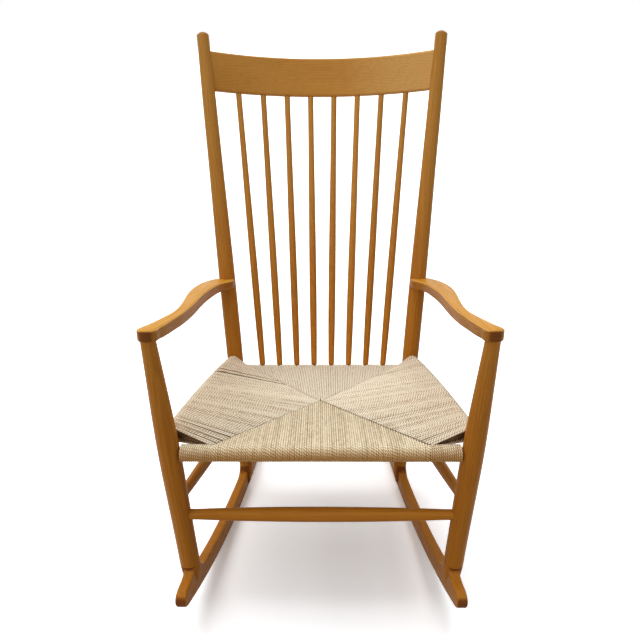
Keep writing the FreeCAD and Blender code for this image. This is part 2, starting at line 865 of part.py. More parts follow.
def woven_seat():
    """The seat's woven cord as one solid of its true outer shape, clear of all wood."""
    right_roll = roll(side_rail_axis, side_roll_end_radius, side_roll_belly_radius)
    pieces = [
        weave_body(),
        rod(front_rail_axis[0], front_rail_axis[1], front_roll_radius),
        rod(rear_rail_axis[0], rear_rail_axis[1], rear_roll_radius),
        right_roll,
        mirrored(right_roll),
    ]
    right_side = [
        front_leg_blank(cord_clearance),
        back_post_blank(cord_clearance),
        side_rail(cord_clearance),
    ]
    wood = right_side + [mirrored(shape) for shape in right_side]
    wood += [front_rail(cord_clearance), rear_rail(cord_clearance)]
    whole = fused(pieces)
    if whole.isValid() and len(whole.Solids) == 1:
        seat = whole.cut(wood)
    else:
        seat = fused([main_solid(piece.cut(wood)) for piece in pieces])
    return main_solid(seat.cut([spindle(axis, cord_clearance) for axis in spindle_places()]))


def main_solid(shape):
    """The largest solid of a shape, without the slivers that a cut leaves behind a leg."""
    return max(shape.Solids, key=lambda solid: solid.Volume)


def write(name, shape):
    """Save one piece and say how large it is."""
    solids = shape.Solids
    volume = sum(solid.Volume for solid in solids)
    valid = all(solid.isValid() for solid in solids)
    print(name, "solids", len(solids), "volume", round(volume), "valid", valid)
    shape.exportStep("parts/" + name + ".step")


def write_pair(name, shape):
    """Save a right-hand piece and its mirror image."""
    write("right_" + name, shape)
    write("left_" + name, mirrored(shape))


os.makedirs("parts", exist_ok=True)
write_pair("rocker", rocker())
write_pair("front_leg", front_leg())
write_pair("back_post", back_post())
write_pair("arm", arm())
write_pair("seat_rail", side_rail(0))
write_pair("side_stretcher", slim_stretcher(side_stretcher_axis))
write("front_seat_rail", front_rail(0))
write("rear_seat_rail", rear_rail(0).cut(spindle_mortises(True)))
front_ends = front_stretcher_end_radius
write("front_stretcher", stretcher(front_stretcher_axis, front_ends, front_stretcher_belly_radius))
write("rear_stretcher", slim_stretcher(rear_stretcher_axis))
write("crest_rail", crest_rail())
for number, axis in enumerate(spindle_places()):
    write("spindle_" + str(number + 1), spindle(axis, 0))
write("woven_seat", woven_seat())
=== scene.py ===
# %% [markdown]
# # A rocking chair of turned wood with a seat woven from paper cord
# The wooden pieces come ready from the CAD model: round tapered legs, a bent crest rail, eight
# spindles, swept arms and two rockers. This lesson gives them a wood that runs along each piece,
# weaves the seat strand by strand, and sets up a plain studio with the camera of the photograph.
# Everything is in metres: X across the chair, Y from its front to its back, Z up, floor at zero.

# %% Load the frame
import json
import math
import random

import bpy
from mathutils import Matrix, Vector


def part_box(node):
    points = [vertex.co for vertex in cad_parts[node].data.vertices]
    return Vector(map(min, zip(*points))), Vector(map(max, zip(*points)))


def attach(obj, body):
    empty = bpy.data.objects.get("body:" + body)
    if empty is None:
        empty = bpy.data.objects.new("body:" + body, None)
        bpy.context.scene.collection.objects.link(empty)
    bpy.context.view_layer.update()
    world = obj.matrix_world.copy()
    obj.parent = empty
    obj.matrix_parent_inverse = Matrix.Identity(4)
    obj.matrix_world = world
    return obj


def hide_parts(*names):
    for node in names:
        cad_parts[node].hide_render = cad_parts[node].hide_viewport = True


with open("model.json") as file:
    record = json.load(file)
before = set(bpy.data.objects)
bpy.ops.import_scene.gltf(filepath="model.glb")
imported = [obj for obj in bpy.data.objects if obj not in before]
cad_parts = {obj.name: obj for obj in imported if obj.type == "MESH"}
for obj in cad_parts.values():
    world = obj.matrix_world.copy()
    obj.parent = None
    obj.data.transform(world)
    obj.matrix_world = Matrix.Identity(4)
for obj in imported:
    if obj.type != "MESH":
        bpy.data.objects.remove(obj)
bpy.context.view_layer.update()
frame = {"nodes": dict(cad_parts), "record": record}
wood_nodes = [p["node"] for p in frame["record"]["subparts"] if p["material_slot"] == "wood"]
print("wooden pieces:", len(wood_nodes))

# %% [markdown]
# ## The camera
# The photograph looks down at the chair from the front, a little right of its middle. The lens
# and the place were found by matching the ends of the legs, posts and rockers. A camera looks
# along its own minus Z, so it is tipped up by 90 degrees less the downward pitch, then turned and
# rolled by less than a degree.

# %% Camera
camera_place = Vector((0.01397, -1.41963, 1.0984))
camera_pitch = math.radians(23.633)
camera_turn = math.radians(0.736)
camera_roll = math.radians(-0.386)
sensor_width = 36
lens_length = 38.8125

camera_data = bpy.data.cameras.new("camera")
camera_data.sensor_width = sensor_width
camera_data.lens = lens_length
camera = bpy.data.objects.new("camera", camera_data)
bpy.context.scene.collection.objects.link(camera)
camera.matrix_world = (
    Matrix.Translation(camera_place)
    @ Matrix.Rotation(camera_turn, 4, "Z")
    @ Matrix.Rotation(math.pi / 2 - camera_pitch, 4, "X")
    @ Matrix.Rotation(camera_roll, 4, "Z")
)
bpy.context.scene.camera = camera
print("camera at", tuple(round(c, 3) for c in camera.location))

# %% [markdown]
# ## Helpers for shader nodes
# Materials are built from nodes in code. A few short helpers keep that readable: one adds a node
# and fills its sockets, with a number, a colour or another node's output. Others add a maths step,
# a range, a mix of two colours or a noise. A shader group gets its sockets from its interface.

# %% Node helpers
def node(tree, kind, inputs=(), **settings):
    """A node with its settings and its filled or linked inputs."""
    made = tree.nodes.new(kind)
    for key, value in settings.items():
        setattr(made, key, value)
    for key, value in dict(inputs).items():
        if isinstance(value, bpy.types.NodeSocket):
            tree.links.new(value, made.inputs[key])
        else:
            made.inputs[key].default_value = value
    return made


def maths(tree, operation, first, second=0.0, third=0.0):
    """The result of one maths step."""
    made = node(tree, "ShaderNodeMath", {0: first, 1: second, 2: third}, operation=operation)
    return made.outputs[0]


def spread(tree, value, low, high, new_low=0.0, new_high=1.0):
    """A value moved smoothly from one range to another, and held at its ends."""
    made = node(
        tree, "ShaderNodeMapRange",
        {"Value": value, "From Min": low, "From Max": high, "To Min": new_low, "To Max": new_high},
        interpolation_type="SMOOTHSTEP",
    )
    return made.outputs["Result"]


def mixed(tree, share, first, second, way="MIX"):
    """Two colours mixed by a share."""
    made = node(tree, "ShaderNodeMix", data_type="RGBA", blend_type=way)
    for place, value in ((0, share), (6, first), (7, second)):
        if isinstance(value, bpy.types.NodeSocket):
            tree.links.new(value, made.inputs[place])
        else:
            made.inputs[place].default_value = value
    return made.outputs[2]


def noise(tree, place, stretch, scale, detail, roughness=0.5):
    """Noise in a space that is stretched along its axes."""
    moved = node(tree, "ShaderNodeVectorMath", {0: place, 1: stretch}, operation="MULTIPLY")
    made = node(
        tree, "ShaderNodeTexNoise",
        {"Vector": moved.outputs[0], "Scale": scale, "Detail": detail, "Roughness": roughness},
    )
    return made.outputs[0]


def bumpy(tree, shader, height, strength, distance):
    """Small relief on a shader, from a height."""
    bump = node(tree, "ShaderNodeBump", {"Height": height, "Strength": strength, "Distance": distance})
    tree.links.new(bump.outputs[0], shader.inputs["Normal"])


def new_group(name, inputs, outputs):
    """An empty shader group with named inputs (with first values) and outputs."""
    group = bpy.data.node_groups.new(name, "ShaderNodeTree")
    for label, kind, value in inputs:
        socket = group.interface.new_socket(label, in_out="INPUT", socket_type="NodeSocket" + kind)
        if value is not None:
            socket.default_value = value
    for label, kind in outputs:
        group.interface.new_socket(label, in_out="OUTPUT", socket_type="NodeSocket" + kind)
    entry = group.nodes.new("NodeGroupInput")
    leave = group.nodes.new("NodeGroupOutput")
    return group, entry.outputs, leave.inputs

# %% [markdown]
# ## Wood
# The chair is a pale hardwood that oil and light have turned honey brown. Up close it shows soft
# growth rings, long streaks, fine dark pores that run along the grain, and darker end grain where
# a piece is cut across. The group works in the piece's own space, with Z along its grain: rings
# are distances from an off-centre pith line, and streaks and pores are noises stretched along Z.

# %% Wood grain group
pore_dark = (0.10, 0.035, 0.012, 1)
end_dark = (0.15, 0.036, 0.010, 1)
cloud_stretch = (1, 1, 0.07)
streak_stretch = (1, 1, 0.025)
pore_stretch = (1, 1, 0.09)
ring_wander = 0.018

wood_grain, given, made = new_group(
    "wood_grain",
    (
        ("Place", "Vector", None),
        ("Facing", "Vector", None),
        ("Light", "Color", (0.5, 0.25, 0.08, 1)),
        ("Dark", "Color", (0.3, 0.13, 0.04, 1)),
        ("Ring Width", "Float", 0.004),
        ("Figure", "Float", 0.5),
    ),
    (("Color", "Color"), ("Roughness", "Float"), ("Height", "Float")),
)
tree = wood_grain
drift = noise(tree, given["Place"], cloud_stretch, 26, 3)
parts = node(tree, "ShaderNodeSeparateXYZ", {0: given["Place"]})
across = maths(tree, "MULTIPLY", parts.outputs[0], parts.outputs[0])
deep = maths(tree, "MULTIPLY", parts.outputs[1], parts.outputs[1])
pith = maths(tree, "SQRT", maths(tree, "ADD", across, deep))
wander = maths(tree, "MULTIPLY", drift, ring_wander)
age = maths(tree, "DIVIDE", maths(tree, "ADD", pith, wander), given["Ring Width"])
season = maths(tree, "FRACT", age)
early = spread(tree, season, 0.0, 0.72)
late = spread(tree, season, 0.86, 1.0)
ring = maths(tree, "SUBTRACT", early, late)
streak = noise(tree, given["Place"], streak_stretch, 420, 4, 0.62)
pores = spread(tree, noise(tree, given["Place"], pore_stretch, 2300, 1), 0.60, 0.72)
cloud = noise(tree, given["Place"], cloud_stretch, 9, 2)
facing = node(tree, "ShaderNodeSeparateXYZ", {0: given["Facing"]})
end_grain = spread(tree, maths(tree, "ABSOLUTE", facing.outputs[2]), 0.55, 0.95)
ring_share = maths(tree, "MULTIPLY", ring, given["Figure"])
streak_share = spread(tree, streak, 0.34, 0.68, -0.14, 0.24)
cloud_share = spread(tree, cloud, 0.3, 0.7, -0.16, 0.20)
dark_share = maths(tree, "ADD", maths(tree, "ADD", ring_share, streak_share), cloud_share)
dark_share = maths(tree, "ADD", dark_share, maths(tree, "MULTIPLY", end_grain, 0.75))
dark_share = node(tree, "ShaderNodeClamp", {0: dark_share}).outputs[0]
colour = mixed(tree, dark_share, given["Light"], given["Dark"])
colour = mixed(tree, maths(tree, "MULTIPLY", pores, 0.35), colour, pore_dark)
colour = mixed(tree, maths(tree, "MULTIPLY", end_grain, 0.65), colour, end_dark)
tree.links.new(colour, made["Color"])
rough = spread(tree, streak, 0.3, 0.7, 0.36, 0.50)
rough = maths(tree, "ADD", rough, maths(tree, "MULTIPLY", end_grain, 0.12))
tree.links.new(rough, made["Roughness"])
height = maths(tree, "MULTIPLY", streak, 0.5)
height = maths(tree, "SUBTRACT", height, maths(tree, "MULTIPLY", pores, 0.8))
tree.links.new(maths(tree, "ADD", height, maths(tree, "MULTIPLY", ring, 0.15)), made["Height"])
print("wood_grain nodes:", len(tree.nodes))

# %% [markdown]
# ## Wood on each piece
# The grain of a real chair runs along each piece, and no two pieces come from the same place in
# the board. Each wooden node gets its own material: a Mapping node turns the pattern's Z onto the
# piece's long direction and sets where its pith line passes. The photographed wood is a paler
# honey at the crest and a deeper amber at the legs and rockers, so the tones also follow height.
# Where hands rub the arms, their flat tops are golden and lighter, partly wear and partly painted
# light from above, and their rounded edges carry a painted highlight, pale as straw. The other
# pieces show a trace of both. The crest rail has painted light, lighter towards its right end. Only
# the numbers differ, so one function makes all the materials.

# %% Wood material for one piece
honey_light = (0.680, 0.320, 0.066, 1)
honey_dark = (0.440, 0.175, 0.026, 1)
amber_light = (0.550, 0.200, 0.019, 1)
amber_dark = (0.340, 0.102, 0.007, 1)
gold_light = (0.700, 0.325, 0.024, 1)
gold_dark = (0.480, 0.195, 0.010, 1)
# The straw colours are painted highlight on rounded edges and painted light on the crest's right end.
painted_highlight_light = (0.880, 0.500, 0.160, 1)
painted_highlight_dark = (0.600, 0.290, 0.070, 1)
edge_slope = 0.66
edge_highlight_strength = 0.75
wood_bump = (0.35, 0.0004)


def wood_material(
    name, way, pith_offset, tone, rubbed=0.0, painted_light_end=0.0, ring_width=0.0042, figure=0.26
):
    """Wood along a direction, with its own place and tone, a rubbed and lit top and painted
    highlights.
    """
    material = bpy.data.materials.new("wood_" + name)
    material.use_nodes = True
    tree = material.node_tree
    shader = tree.nodes["Principled BSDF"]
    low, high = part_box(name)
    middle = (low + high) / 2
    turn = Vector(way).to_track_quat("Z", "Y").to_euler()
    place = node(tree, "ShaderNodeTexCoord")
    along = node(
        tree, "ShaderNodeMapping",
        {"Vector": place.outputs["Object"], "Location": middle, "Rotation": turn},
        vector_type="TEXTURE",
    )
    moved = node(tree, "ShaderNodeVectorMath", {0: along.outputs[0], 1: pith_offset}, operation="ADD")
    normal = node(tree, "ShaderNodeMapping", {"Rotation": turn}, vector_type="TEXTURE")
    tree.links.new(place.outputs["Normal"], normal.inputs["Vector"])
    grain = node(tree, "ShaderNodeGroup", node_tree=wood_grain)
    tree.links.new(moved.outputs[0], grain.inputs["Place"])
    tree.links.new(normal.outputs[0], grain.inputs["Facing"])
    spot = node(tree, "ShaderNodeSeparateXYZ", {0: place.outputs["Object"]})
    facing = node(tree, "ShaderNodeSeparateXYZ", {0: place.outputs["Normal"]})
    # Upward faces turn golden and lighter: partly wear from hands, partly painted light from above.
    rubbed_and_lit_top = maths(tree, "MULTIPLY", spread(tree, facing.outputs[2], 0.35, 0.90), rubbed)
    # Paler honey higher up, deeper amber lower down.
    higher_up = spread(tree, spot.outputs[2], 0.30, 1.00)
    # Painted light, lighter towards the right end; only the crest rail gets it.
    painted_light_toward_right = maths(tree, "MULTIPLY", spread(tree, spot.outputs[0], 0.02, 0.22), painted_light_end)
    # Painted highlight along rounded edges, strongest where a face slopes at edge_slope.
    off_edge = maths(tree, "ABSOLUTE", maths(tree, "SUBTRACT", facing.outputs[2], edge_slope))
    edge_highlight = maths(tree, "MULTIPLY", spread(tree, off_edge, 0.10, 0.26, rubbed, 0), edge_highlight_strength)
    painted_highlight_share = maths(tree, "MAXIMUM", painted_light_toward_right, edge_highlight)
    for socket, low_down, high_up, golden, painted_highlight in (
        ("Light", amber_light, honey_light, gold_light, painted_highlight_light),
        ("Dark", amber_dark, honey_dark, gold_dark, painted_highlight_dark),
    ):
        toned = [[c * tone for c in colour[:3]] + [1] for colour in (low_down, high_up)]
        toned_and_lit = mixed(tree, rubbed_and_lit_top, mixed(tree, higher_up, *toned), golden)
        tree.links.new(mixed(tree, painted_highlight_share, toned_and_lit, painted_highlight), grain.inputs[socket])
    grain.inputs["Ring Width"].default_value = ring_width
    grain.inputs["Figure"].default_value = figure
    tree.links.new(grain.outputs["Color"], shader.inputs["Base Color"])
    tree.links.new(grain.outputs["Roughness"], shader.inputs["Roughness"])
    bumpy(tree, shader, grain.outputs["Height"], *wood_bump)
    shader.inputs["Specular IOR Level"].default_value = 0.30
    shader.inputs["IOR"].default_value = 1.18
    shader.inputs["Coat Weight"].default_value = 0.03
    shader.inputs["Coat Roughness"].default_value = 0.25
    return material

# %% [markdown]
# ## Which way the grain runs
# Each kind of piece has its own direction, given for the right half and mirrored for the left one.
# The arms are the most rubbed and get the most painted top light and painted edge highlight, and
# the crest rail is sawn from far off the pith, so that its rings show as nearly straight lines; its
# right end gets painted light.

# %% Give every wooden node its wood
post_way = (0.0852, 0.3090, 0.9510)
leg_way = (0.0717, 0.0166, 0.9973)
spindle_way = (0, 0.3090, 0.9510)
grain_ways = {
    "rocker": (0.14, -0.99, 0), "front_leg": leg_way, "back_post": post_way,
    "arm": (-0.05, 0.98, -0.2), "seat_rail": (-0.12, 0.98, -0.16),
    "side_stretcher": (-0.14, 0.97, -0.16),
}
tone_shares = {"arm": 0.80, "back_post": 0.95}
# Rubbed shares set the golden tops, partly wear and partly painted top light, and the painted edge
# highlight.
rubbed_and_lit_shares = {"arm": 1.0}
little_rubbed_and_lit = 0.1
# The crest rail gets painted light, lighter towards its right end.
crest_look = {"painted_light_end": 0.85, "ring_width": 0.0065, "figure": 0.16}
crest_pith_away = 0.4
chance = random.Random(7)
for name in wood_nodes:
    side, _, piece = name.partition("_")
    if side in ("right", "left"):
        way = list(grain_ways[piece])
        if side == "left":
            way[0] = -way[0]
    elif side == "spindle":
        way = spindle_way
    else:
        way = (1, 0, 0)
    offset = (chance.uniform(0.02, 0.05), chance.uniform(0.01, 0.04), chance.uniform(-3, 3))
    tone = chance.uniform(0.94, 1.06) * tone_shares.get(piece, 1.0)
    # The rubbed share: wear, painted top light and painted edge highlight.
    rubbed = rubbed_and_lit_shares.get(piece, little_rubbed_and_lit)
    if name == "crest_rail":
        offset = (offset[0], offset[1] + crest_pith_away, offset[2])
        material = wood_material(name, way, offset, tone, rubbed, **crest_look)
    else:
        material = wood_material(name, way, offset, tone, rubbed)
    slots = frame["nodes"][name].data.materials
    slots.clear()
    slots.append(material)
print("wooden nodes finished:", len(wood_nodes))

# %% [markdown]
# ## The noses of the arms
# The front end of each real arm is a full, round nose, as broad as the head of the leg below it.
# A copy of the arm from the frame is merged to one skin with plain flat faces, and its points near
# the nose are moved. The inner edge moves inwards, which broadens the nose, and both corners move
# back and a little down along the arm's slope, the inner one most, which rounds it. The bore for
# the leg's head stays where it is.

# %% Arms with round noses
def held(value):
    """A value held between 0 and 1."""
    return min(1, max(0, value))


def smooth(value):
    """A value held between 0 and 1 and eased at both ends."""
    share = held(value)
    return share * share * (3 - 2 * share)


arm_fall = 0.26
nose_outer_x, nose_inner_x = 0.3125, 0.2815
nose_broader = 0.0075
nose_back = {-1: 0.0095, 1: 0.0055}
leg_head = Vector((0.2945, -0.419))
bore_radius = 0.0095
nose_reach = 0.12
broad_length, broad_fade = 0.012, 0.105
round_length = 0.045
merge_distance = 0.00002
flat_within = math.radians(0.5)
sharp_from = math.radians(35)


def round_nose(name, side):
    """Replace an arm by a copy whose nose is broader and rounder."""
    arm = frame["nodes"][name].copy()
    arm.data = frame["nodes"][name].data.copy()
    arm.name = arm.data.name = name + "_shaped"
    bpy.context.scene.collection.objects.link(arm)
    bpy.ops.object.select_all(action="DESELECT")
    arm.select_set(True)
    bpy.context.view_layer.objects.active = arm
    bpy.ops.object.mode_set(mode="EDIT")
    bpy.ops.mesh.select_all(action="SELECT")
    bpy.ops.mesh.remove_doubles(threshold=merge_distance)
    bpy.ops.mesh.dissolve_limited(angle_limit=flat_within)
    bpy.ops.object.mode_set(mode="OBJECT")
    nose_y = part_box(name)[0].y
    for vertex in arm.data.vertices:
        x, y, z = vertex.co.x * side, vertex.co.y, vertex.co.z
        if (Vector((x, y)) - leg_head).length < bore_radius or y > nose_y + nose_reach:
            continue
        near = 1 - smooth((y - nose_y - broad_length) / broad_fade)
        inward = held((nose_outer_x - x) / (nose_outer_x - nose_inner_x))
        x -= nose_broader * near * inward
        middle = (nose_outer_x + nose_inner_x - nose_broader) / 2
        aside = min(1, abs(x - middle) / (nose_outer_x - middle))
        cut = nose_back[1 if x > middle else -1] * aside ** 2.5
        back = cut * (1 - smooth((y - nose_y) / round_length))
        vertex.co = (x * side, y + back, z - arm_fall * back)
    bpy.ops.object.shade_smooth_by_angle(angle=sharp_from)
    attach(arm, "root")
    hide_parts(name)
    print(name, "faces:", len(arm.data.polygons), "nose at", round(nose_y, 4))


round_nose("right_arm", 1)
round_nose("left_arm", -1)

# %% [markdown]
# ## Paper cord
# The cord is paper twisted hard, about 3.6 mm thick. Its twist shows as short slanting strokes,
# with painted shade where two plies meet, and painted shade makes it browner at its sides, where
# it touches its neighbours.
# Each strand carries a UV map with its real length along V, in metres, and one turn round it along
# U, so a slanted wave gives the plies. A tone for each strand, a wear value along it, where hands
# and legs have rubbed it brown, and a painted shade at its ends, where it dives into the weave, are
# stored as attributes.

# %% Paper cord group
# Painted shade in the grooves of worn cord.
worn_groove_shade = (0.21, 0.085, 0.02, 1)
# Painted shade where strands dive into the weave.
dived_shade_brown = (0.13, 0.065, 0.022, 1)
blotch_stretch = (37, 55, 0.6)
crease_stretch = (91, 900, 9)

cord_twist, given, made = new_group(
    "cord_twist",
    (
        ("Along", "Vector", None),
        ("Tone", "Float", 0.5),
        ("Wear", "Float", 0.0),
        ("Shade", "Float", 0.0),
        ("Pale", "Color", (0.8, 0.6, 0.38, 1)),
        ("Warm", "Color", (0.55, 0.34, 0.15, 1)),
        ("Worn", "Color", (0.76, 0.37, 0.075, 1)),
        ("Lay", "Float", 0.0108),
    ),
    (("Color", "Color"), ("Roughness", "Float"), ("Height", "Float")),
)
tree = cord_twist
parts = node(tree, "ShaderNodeSeparateXYZ", {0: given["Along"]})
turns = maths(tree, "DIVIDE", parts.outputs[1], given["Lay"])
phase = maths(tree, "MULTIPLY", maths(tree, "ADD", parts.outputs[0], turns), 2.0)
ply = maths(tree, "ABSOLUTE", maths(tree, "SINE", maths(tree, "MULTIPLY", phase, math.pi)))
ply = maths(tree, "POWER", ply, 0.7)
# Painted shade in the grooves where two plies meet.
groove_shade = maths(tree, "SUBTRACT", 1.0, spread(tree, ply, 0.18, 0.86))
# Painted shade at the strand's sides, where it meets its neighbours.
crown = maths(tree, "SINE", maths(tree, "MULTIPLY", parts.outputs[0], 2 * math.pi))
flank_shade = maths(tree, "SUBTRACT", 1.0, spread(tree, crown, 0.0, 0.65))
spot_place = node(
    tree, "ShaderNodeCombineXYZ", {0: given["Tone"], 1: parts.outputs[1], 2: parts.outputs[0]}
)
blotch = noise(tree, spot_place.outputs[0], blotch_stretch, 1, 3)
crease = noise(tree, spot_place.outputs[0], crease_stretch, 1, 3)
# The share of warm brown: real blotches, creases and tone, with painted shade in the grooves and at
# the sides.
warmth_and_shade = spread(tree, blotch, 0.36, 0.70, -0.16, 0.18)
warmth_and_shade = maths(tree, "ADD", warmth_and_shade, maths(tree, "MULTIPLY", groove_shade, 0.98))
warmth_and_shade = maths(tree, "ADD", warmth_and_shade, maths(tree, "MULTIPLY", flank_shade, 0.34))
warmth_and_shade = maths(tree, "ADD", warmth_and_shade, spread(tree, crease, 0.35, 0.65, -0.08, 0.10))
warmth_and_shade = maths(tree, "ADD", warmth_and_shade, spread(tree, given["Tone"], 0.0, 1.0, -0.30, 0.16))
warmth_and_shade = node(tree, "ShaderNodeClamp", {0: warmth_and_shade}).outputs[0]
cord_colour = mixed(tree, warmth_and_shade, given["Pale"], given["Warm"])
# Worn cord, with painted shade in its grooves.
worn_and_groove_shade = mixed(tree, groove_shade, given["Worn"], worn_groove_shade)
cord_colour = mixed(tree, given["Wear"], cord_colour, worn_and_groove_shade)
# Painted shade at the ends where strands dive into the weave.
tree.links.new(mixed(tree, given["Shade"], cord_colour, dived_shade_brown), made["Color"])
tree.links.new(spread(tree, crease, 0.3, 0.7, 0.66, 0.84), made["Roughness"])
relief = maths(tree, "ADD", ply, maths(tree, "MULTIPLY", crease, 0.35))
tree.links.new(relief, made["Height"])
print("cord_twist nodes:", len(cord_twist.nodes))

# %% [markdown]
# ## Three tones of cord
# Most of the seat is the pale cord. The front field and the wraps on the rails' ends have yellowed
# a little, and the strands inside the open pockets get a darker copy of the cord, painted shade.

# %% Cord materials
cord_bump = (0.9, 0.0007)


def cord_material(name, pale, warm):
    """Twisted paper cord in two tones."""
    material = bpy.data.materials.new(name)
    material.use_nodes = True
    tree = material.node_tree
    shader = tree.nodes["Principled BSDF"]
    along = node(tree, "ShaderNodeUVMap", uv_map="cord")
    twist = node(tree, "ShaderNodeGroup", node_tree=cord_twist)
    tree.links.new(along.outputs[0], twist.inputs["Along"])
    for label in ("Tone", "Wear", "Shade"):
        stored = node(tree, "ShaderNodeAttribute", attribute_name=label.lower())
        tree.links.new(stored.outputs["Fac"], twist.inputs[label])
    twist.inputs["Pale"].default_value = pale
    twist.inputs["Warm"].default_value = warm
    tree.links.new(twist.outputs["Color"], shader.inputs["Base Color"])
    tree.links.new(twist.outputs["Roughness"], shader.inputs["Roughness"])
    bumpy(tree, shader, twist.outputs["Height"], *cord_bump)
    shader.inputs["Specular IOR Level"].default_value = 0.2
    shader.inputs["Sheen Weight"].default_value = 0.10
    shader.inputs["Sheen Roughness"].default_value = 0.5
    return material


seat_cord = cord_material("paper_cord", (1.0, 0.905, 0.715, 1), (0.36, 0.195, 0.075, 1))
yellowed_cord = cord_material(
    "paper_cord_yellowed", (1.0, 0.895, 0.645, 1), (0.36, 0.185, 0.060, 1)
)
# A darker copy of the cord, painted shade for the strands in the open pockets.
shaded_cord = cord_material("paper_cord_in_painted_shade", (0.60, 0.38, 0.20, 1), (0.22, 0.11, 0.05, 1))
print("cord materials:", seat_cord.name, yellowed_cord.name, shaded_cord.name)

# %% [markdown]
# ## Where the strands run
# The seat is wound round four rails. Each strand crosses the top of one field square to its rail,
# bends over the rail, and comes back underneath; on the diagonals it dives between the strands
# of the next field. The four corners and the hollow centre of the weave come from the CAD solid,
# so the strands lie where that solid is. Operators would need hundreds of separate curves, so the
# tubes are written straight into one mesh for each field.

# %% Seat sizes
cord_half = 0.0018
front_rail_end = Vector((0.27824, -0.35877, 0.3682))
rear_rail_end = Vector((0.21684, 0.11947, 0.288))
side_front = Vector((0.28025, -0.35830, 0.397))
side_rear = Vector((0.21935, 0.12857, 0.316))
front_roll, rear_roll = 0.0166, 0.0145
side_roll_end, side_roll_belly = 0.0144, 0.0196
lift_share = 0.94
front_corner = Vector((0.199, front_rail_end.y, 0.3835))
rear_corner = Vector((0.190, rear_rail_end.y, rear_rail_end.z + rear_roll * lift_share))
centre = Vector((-0.003, -0.1130, 0.3340))
centre_depth = 0.009
turns_per_corner = 47
side_front_y, side_rear_y = -0.3362, 0.1040
pocket_start, pocket_height = 0.75, 0.028
corner_rows = (
    (front_corner, front_roll, side_front_y, front_rail_end),
    (rear_corner, rear_roll, side_rear_y, rear_rail_end),
)


def lower(corner, roll):
    """The corner of the weave's underside below a corner of its top."""
    return corner - Vector((0, 0, 2 * roll * lift_share))


def pocket_lift(corner, share):
    """How far the last side strands rise underneath, which opens a slit at each front corner."""
    if corner != front_corner:
        return 0.0
    return pocket_height * max(0, (share - pocket_start) / (1 - pocket_start)) ** 2


def lerp(first, second, share):
    """A point between two points."""
    return first + (second - first) * share


def mirrored(point, side):
    """A point of the right half (1), or the same point in the left half (-1)."""
    return Vector((point.x * side, point.y, point.z))


def side_axis(y):
    """The right side rail's axis at a place along the seat, and the roll's radius there."""
    share = (y - side_front.y) / (side_rear.y - side_front.y)
    belly = 1 - (2 * share - 1) ** 2
    radius = side_roll_end + (side_roll_belly - side_roll_end) * belly
    return lerp(side_front, side_rear, share), radius


print("front strand pitch in mm:", round(1000 * front_corner.x / turns_per_corner, 2))

# %% [markdown]
# ## One strand
# A strand lies in an upright plane square to its rail. From the diagonal it runs straight until it
# touches the roll, follows the roll round the outside, and runs straight back to the diagonal
# below. Its ends bend down and on, between the strands of the next field.

# %% Line of one strand
dip = 0.0014
low_beyond = 0.0016


def over_roll(inner_top, inner_bottom, axis_point, radius, steps=9):
    """The points of a strand from the diagonal over a roll and back, and the angle at each."""
    flat = Vector((axis_point.x - inner_top.x, axis_point.y - inner_top.y, 0)).normalized()

    def touch(point, side):
        """The angle at which a straight strand from a point meets the roll."""
        away = point - axis_point
        out, up = away.dot(flat), away.z
        return math.atan2(up, out) - side * math.acos(min(1, radius / math.hypot(out, up)))

    start = touch(inner_top, 1) % (2 * math.pi)
    stop = touch(inner_bottom, -1)
    if stop > 0:
        stop -= 2 * math.pi
    points, angles = [inner_top], [start]
    for step in range(steps + 1):
        angle = start + (stop - start) * step / steps
        out, up = radius * math.cos(angle), radius * math.sin(angle)
        points.append(axis_point + flat * out + Vector((0, 0, up)))
        angles.append(angle)
    return points + [inner_bottom], angles + [stop]


def dive(points, angles, beyond=0.0006, hook=0.0):
    """The strand with its two ends bent into the weave, a little beyond the diagonal."""
    top_way = (points[0] - points[1]).normalized()
    low_way = (points[-1] - points[-2]).normalized()
    depth = Vector((0, 0, -cord_half))
    aside = Vector((hook, 0, 0))
    start = [
        points[0] + top_way * (beyond + dip) + depth * 2 + aside,
        points[0] + top_way * beyond + depth * 0.5 + aside * 0.6,
    ]
    end = [
        points[-1] + low_way * low_beyond - depth * 0.5,
        points[-1] + low_way * (low_beyond + dip) - depth * 2,
    ]
    return start + points + end, [angles[0]] * 2 + angles + [angles[-1]] * 2


def jitter(size):
    """A small random length."""
    return chance.uniform(-size, size)


def places(gaps, unevenness=0.06):
    """Where the strands lie from the centre (0) to a corner (1), with a gap after some."""
    steps = [1 + chance.uniform(-unevenness, unevenness) for _ in range(turns_per_corner)]
    gap_after = {int(share * turns_per_corner): width for share, width in gaps.items()}
    total = sum(steps) + sum(gap_after.values())
    shares, reached = [], 0.0
    for number, step in enumerate(steps):
        shares.append((reached + step / 2) / total)
        reached += step + gap_after.get(number, 0)
    return shares

# %% [markdown]
# ## From lines to cord
# A tube with seven sides is swept along each line, or with six where it hardly shows. The cord is
# pressed a little flat where it is packed, so a tube can be wider than it is thick. All the strands
# of a field go into one mesh, with their UV map and attributes. Each mesh rides on the chair's one
# body and stands, with the others, for the smooth seat of the CAD model. The twist of each strand
# starts at a random length, so that neighbours don't match.

# %% Sweep strands into a mesh
low_end_shade = 0.9
twist_start_most = 0.03


def strand(points, widths, tone, wear, dark_ends=None, across=None):
    """A strand's points, half widths, tone and wear along it, and the painted shades of its first
    points.

    A strand with dark ends has painted shade at its last two points as well.
    """
    return points, widths, tone, wear, dark_ends or {}, across


def weave_piece(mesh, material):
    """Make a piece of the weave from its mesh."""
    mesh.materials.append(material)
    piece = bpy.data.objects.new(mesh.name, mesh)
    bpy.context.scene.collection.objects.link(piece)
    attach(piece, "root")
    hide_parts("woven_seat")
    print(piece.name, "faces:", len(mesh.polygons))


